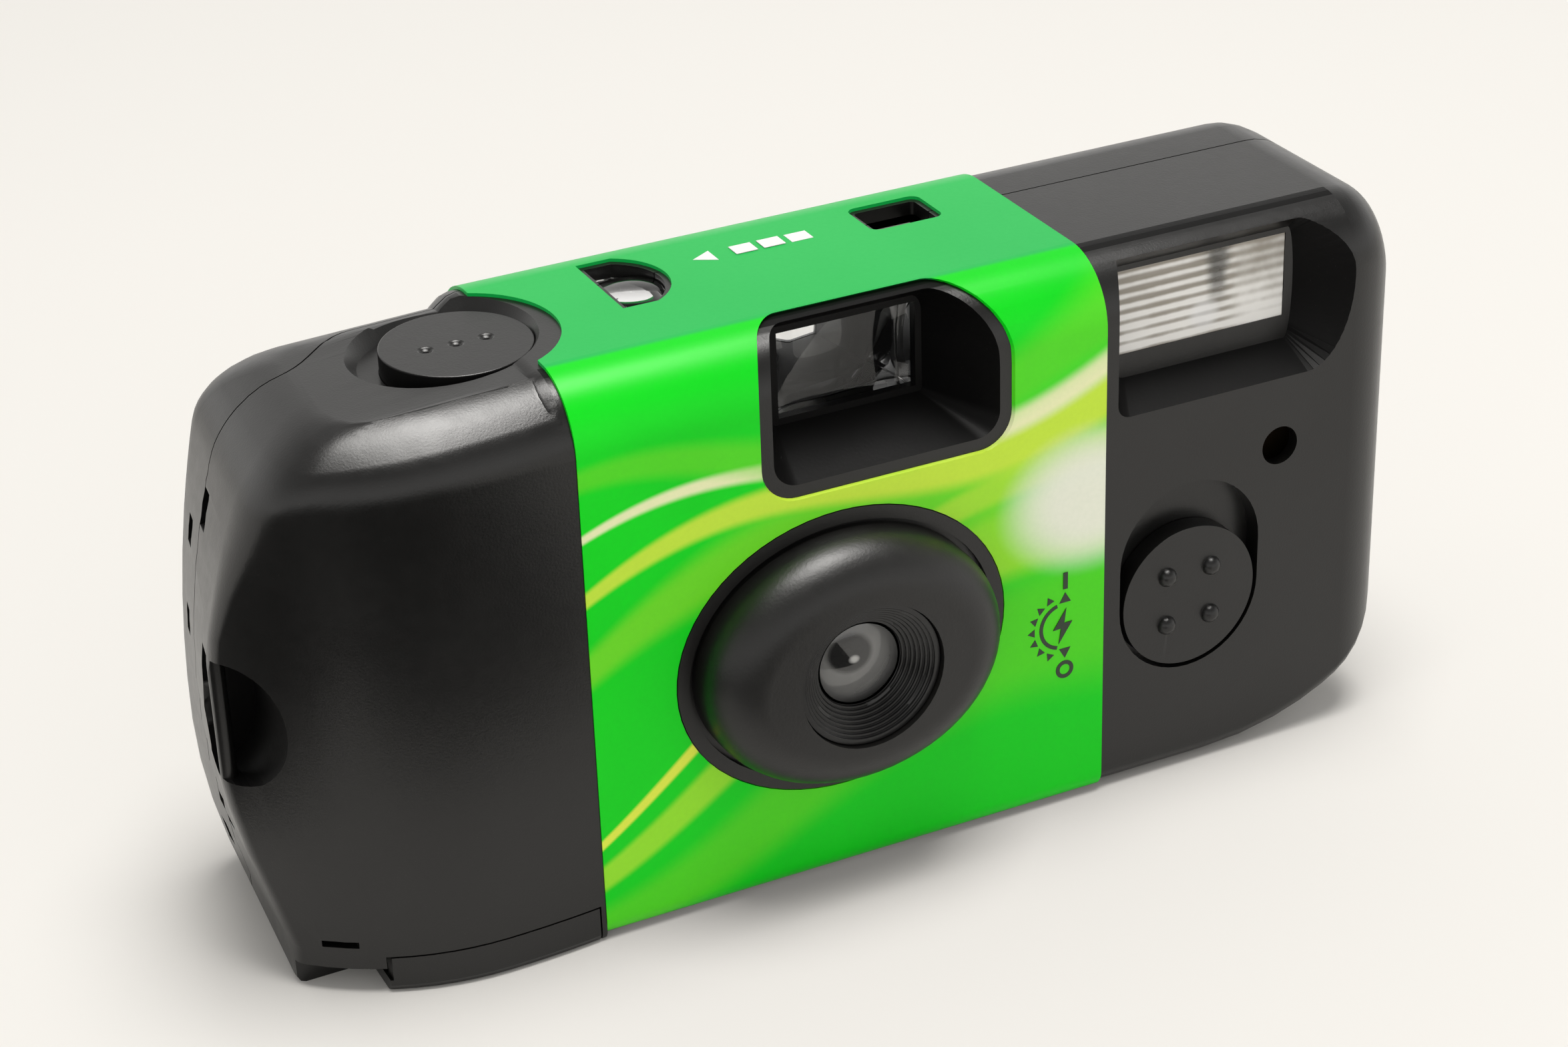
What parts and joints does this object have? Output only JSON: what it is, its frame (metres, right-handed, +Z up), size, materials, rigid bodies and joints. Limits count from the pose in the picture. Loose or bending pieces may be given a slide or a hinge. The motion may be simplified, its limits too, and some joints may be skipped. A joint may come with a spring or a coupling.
{
  "type": "disposable film camera",
  "caption": "Single-use film camera with flash: black moulded case, green wrap label, oval lens surround, finder, top button, flash switch and thumb wheel.",
  "frame": {"origin": "middle of the base, under the middle of the overall width and depth", "axes": "+X along the width from the hand grip to the flash, +Y from the lens to the back, +Z up"},
  "size_m": [0.1076, 0.034, 0.051],
  "materials": {
    "case_black": "fine satin texture",
    "label_print": "printed, slight gloss",
    "control_black": "satin",
    "ready_light": "clear amber",
    "ring_black": "semi-gloss",
    "clear_plastic": "clear, polished",
    "inner_black": "matt",
    "spring_steel": "bright",
    "dial_white": "matt",
    "can_metal": "painted",
    "film_brown": "glossy",
    "reflector": "polished",
    "tube_glass": "clear",
    "board_green": "satin",
    "capacitor_sleeve": "satin sleeve",
    "transformer_tape": "taped",
    "coil_copper": "varnished wire",
    "battery_sleeve": "plain printed sleeve"
  },
  "bodies": {
    "camera": {"front_cover": "case_black", "rear_cover": "case_black", "label_band": "label_print", "lens_ring": "ring_black", "taking_lens": "clear_plastic", "shutter_base": "inner_black", "shutter_spring": "spring_steel", "drive_spring": "spring_steel", "finder_front_lens": "clear_plastic", "finder_eye_lens": "clear_plastic", "counter_magnifier": "clear_plastic", "film_frame": "inner_black", "film_cartridge": "can_metal", "film_strip": "film_brown", "flash_window": "clear_plastic", "flash_reflector": "reflector", "flash_tube": "tube_glass", "circuit_board": "board_green", "flash_capacitor": "capacitor_sleeve", "flash_transformer": "transformer_tape", "trigger_coil": "coil_copper", "battery": "battery_sleeve", "battery_contact_plus": "spring_steel", "battery_contact_minus": "spring_steel", "switch_contact": "spring_steel", "sync_contact": "spring_steel"},
    "shutter_button": {"shutter_button": "control_black"},
    "release_lever": {"release_lever": "spring_steel"},
    "flash_switch": {"flash_switch": "control_black", "ready_light_pipe": "ready_light"},
    "winder": {"wind_wheel": "control_black", "cartridge_spool": "inner_black"},
    "sprocket": {"sprocket": "inner_black"},
    "film_supply": {"supply_spool": "inner_black", "film_roll": "film_brown"},
    "counter_dial": {"counter_dial": "dial_white"},
    "shutter_blade": {"shutter_blade": "spring_steel"},
    "drive_lever": {"drive_lever": "inner_black"},
    "cartridge_door": {"cartridge_door": "case_black"}
  },
  "joints": [
    {"name": "shutter_button_press", "type": "slide", "parent": "camera", "child": "shutter_button", "axis": [0, 0, -1], "range_m": [0, 0.0008], "stiffness_N_per_m": 600},
    {"name": "release_lever_turn", "type": "hinge", "parent": "camera", "child": "release_lever", "pos_m": [-0.0221, 0.0027, 0.04645], "axis": [0, -1, 0], "range_deg": [0, 7]},
    {"name": "flash_switch_slide", "type": "slide", "parent": "camera", "child": "flash_switch", "axis": [0, 0, 1], "range_m": [0, 0.0041]},
    {"name": "wind_wheel_turn", "type": "hinge", "parent": "camera", "child": "winder", "pos_m": [-0.034, 0.0027, 0.04375], "axis": [0, 0, 1], "continuous": true},
    {"name": "sprocket_turn", "type": "hinge", "parent": "camera", "child": "sprocket", "pos_m": [-0.013, 0.00835, 0.037], "axis": [0, 0, 1], "continuous": true},
    {"name": "film_supply_turn", "type": "hinge", "parent": "camera", "child": "film_supply", "pos_m": [0.028, 0.0056, 0.0218], "axis": [0, 0, 1], "continuous": true},
    {"name": "counter_dial_turn", "type": "hinge", "parent": "camera", "child": "counter_dial", "pos_m": [-0.0156, 0.0059, 0.0454], "axis": [0, 0, 1], "continuous": true},
    {"name": "shutter_blade_swing", "type": "hinge", "parent": "camera", "child": "shutter_blade", "pos_m": [0.0057, -0.0077, 0.0273], "axis": [0, -1, 0], "range_deg": [0, 28], "stiffness_Nm_per_rad": 0.0002},
    {"name": "drive_lever_turn", "type": "hinge", "parent": "camera", "child": "drive_lever", "pos_m": [-0.016, -0.00415, 0.0418], "axis": [0, 0, 1], "range_deg": [0, 40], "stiffness_Nm_per_rad": 0.0004},
    {"name": "cartridge_door_hinge", "type": "hinge", "parent": "camera", "child": "cartridge_door", "pos_m": [-0.0259, 0.0027, 0], "axis": [0, -1, 0], "range_deg": [0, 95]}
  ],
  "couplings": [
    {"joint": "release_lever_turn", "follows": "shutter_button_press", "rad_per_m": 150},
    {"joint": "sprocket_turn", "follows": "wind_wheel_turn", "ratio": 1.1},
    {"joint": "film_supply_turn", "follows": "wind_wheel_turn", "ratio": 0.743},
    {"joint": "counter_dial_turn", "follows": "wind_wheel_turn", "ratio": 0.03}
  ]
}
